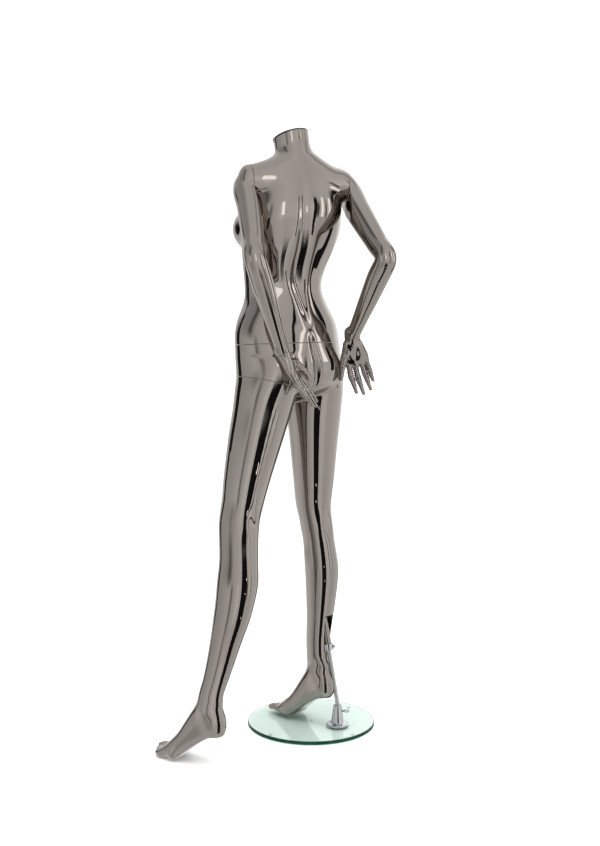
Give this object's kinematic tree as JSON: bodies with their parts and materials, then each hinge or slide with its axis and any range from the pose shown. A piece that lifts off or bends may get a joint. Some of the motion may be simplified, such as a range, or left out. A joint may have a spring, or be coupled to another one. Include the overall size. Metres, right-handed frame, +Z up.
{
  "type": "full body mannequin",
  "caption": "Headless standing female display mannequin in mirror chrome with removable arms, hands, torso and leg, held by a calf rod on a round glass base.",
  "frame": {"origin": "floor level under the centre of the round glass base", "axes": "+Z up, -Y the way the hips and feet face, +X to the figure's left"},
  "size_m": [0.6326, 0.4703, 1.6333],
  "materials": {
    "chrome_shell": "mirror dark chrome plated over glass fibre",
    "bright_metal": "polished bright chrome",
    "rod_steel": "satin nickel plated steel",
    "zinc_steel": "zinc plated steel",
    "clear_glass": "clear toughened float glass with a polished edge",
    "clear_rubber": "clear soft bumper",
    "gasket_rubber": "thin black rubber"
  },
  "bodies": {
    "base": {"glass_disc": "clear_glass", "clear_bumper_1": "clear_rubber", "clear_bumper_2": "clear_rubber", "clear_bumper_3": "clear_rubber", "clear_bumper_4": "clear_rubber", "clear_bumper_5": "clear_rubber", "flange_gasket": "gasket_rubber", "base_flange": "bright_metal", "flange_bolt": "zinc_steel", "flange_washer": "zinc_steel"},
    "thumb_screw": {"thumb_screw": "bright_metal"},
    "rod": {"support_rod": "rod_steel"},
    "lower_body": {"lower_body_shell": "chrome_shell", "calf_socket": "chrome_shell", "calf_collar": "bright_metal", "waist_key_plate": "zinc_steel", "thigh_key_plate": "zinc_steel"},
    "set_screw": {"calf_set_screw": "bright_metal"},
    "left_leg": {"left_leg_shell": "chrome_shell", "thigh_stud_plate": "zinc_steel", "thigh_stud": "zinc_steel", "thigh_nut": "zinc_steel"},
    "torso": {"torso_shell": "chrome_shell", "neck_cap": "chrome_shell", "neck_cap_pin": "zinc_steel", "waist_stud_plate": "zinc_steel", "waist_stud": "zinc_steel", "waist_nut": "zinc_steel", "left_shoulder_key_plate": "zinc_steel", "right_shoulder_key_plate": "zinc_steel"},
    "left_arm": {"left_arm_shell": "chrome_shell", "left_shoulder_stud_plate": "zinc_steel", "left_shoulder_stud": "zinc_steel", "left_shoulder_nut": "zinc_steel", "left_wrist_socket": "zinc_steel"},
    "right_arm": {"right_arm_shell": "chrome_shell", "right_shoulder_stud_plate": "zinc_steel", "right_shoulder_stud": "zinc_steel", "right_shoulder_nut": "zinc_steel", "right_wrist_socket": "zinc_steel"},
    "left_hand": {"left_hand": "chrome_shell", "left_hand_pin": "zinc_steel"},
    "right_hand": {"right_hand": "chrome_shell", "right_hand_pin": "zinc_steel"}
  },
  "joints": [
    {"name": "thumb_screw_turn", "type": "hinge", "parent": "base", "child": "thumb_screw", "pos_m": [-0.018, 0.084, 0.051], "axis": [-0.7071, 0.7071, 0], "continuous": true},
    {"name": "rod_slide", "type": "slide", "parent": "base", "child": "rod", "axis": [0, 0, 1], "range_m": [0, 0.025]},
    {"name": "figure_lift", "type": "slide", "parent": "rod", "child": "lower_body", "axis": [0.041, -0.185, 0.9819], "range_m": [0, 0.07]},
    {"name": "set_screw_turn", "type": "hinge", "parent": "lower_body", "child": "set_screw", "pos_m": [-0.01165, 0.05533, 0.22219], "axis": [-0.4963, 0.8492, 0.1807], "continuous": true},
    {"name": "left_leg_twist", "type": "hinge", "parent": "lower_body", "child": "left_leg", "pos_m": [0.163, -0.008, 0.946], "axis": [-0.2586, 0.0415, 0.9651], "range_deg": [0, 4]},
    {"name": "torso_twist", "type": "hinge", "parent": "lower_body", "child": "torso", "pos_m": [0.078, -0.012, 1.055], "axis": [0.023, -0.023, 0.9995], "range_deg": [-3, 1.5]},
    {"name": "left_arm_swing", "type": "hinge", "parent": "torso", "child": "left_arm", "pos_m": [0.20139, -0.03083, 1.484], "axis": [0.8894, -0.4532, -0.0599], "range_deg": [0, 30]},
    {"name": "right_arm_swing", "type": "hinge", "parent": "torso", "child": "right_arm", "pos_m": [-0.03739, 0.09083, 1.484], "axis": [0.8894, -0.4532, 0.0599], "range_deg": [0, 30]},
    {"name": "left_hand_turn", "type": "hinge", "parent": "left_arm", "child": "left_hand", "pos_m": [0.205, 0.1, 1.027], "axis": [-0.463, 0.2222, -0.8581], "range_deg": [0, 20]},
    {"name": "right_hand_turn", "type": "hinge", "parent": "right_arm", "child": "right_hand", "pos_m": [-0.032, 0.125, 1.073], "axis": [-0.3375, -0.0482, -0.9401], "range_deg": [-20, 2]}
  ]
}
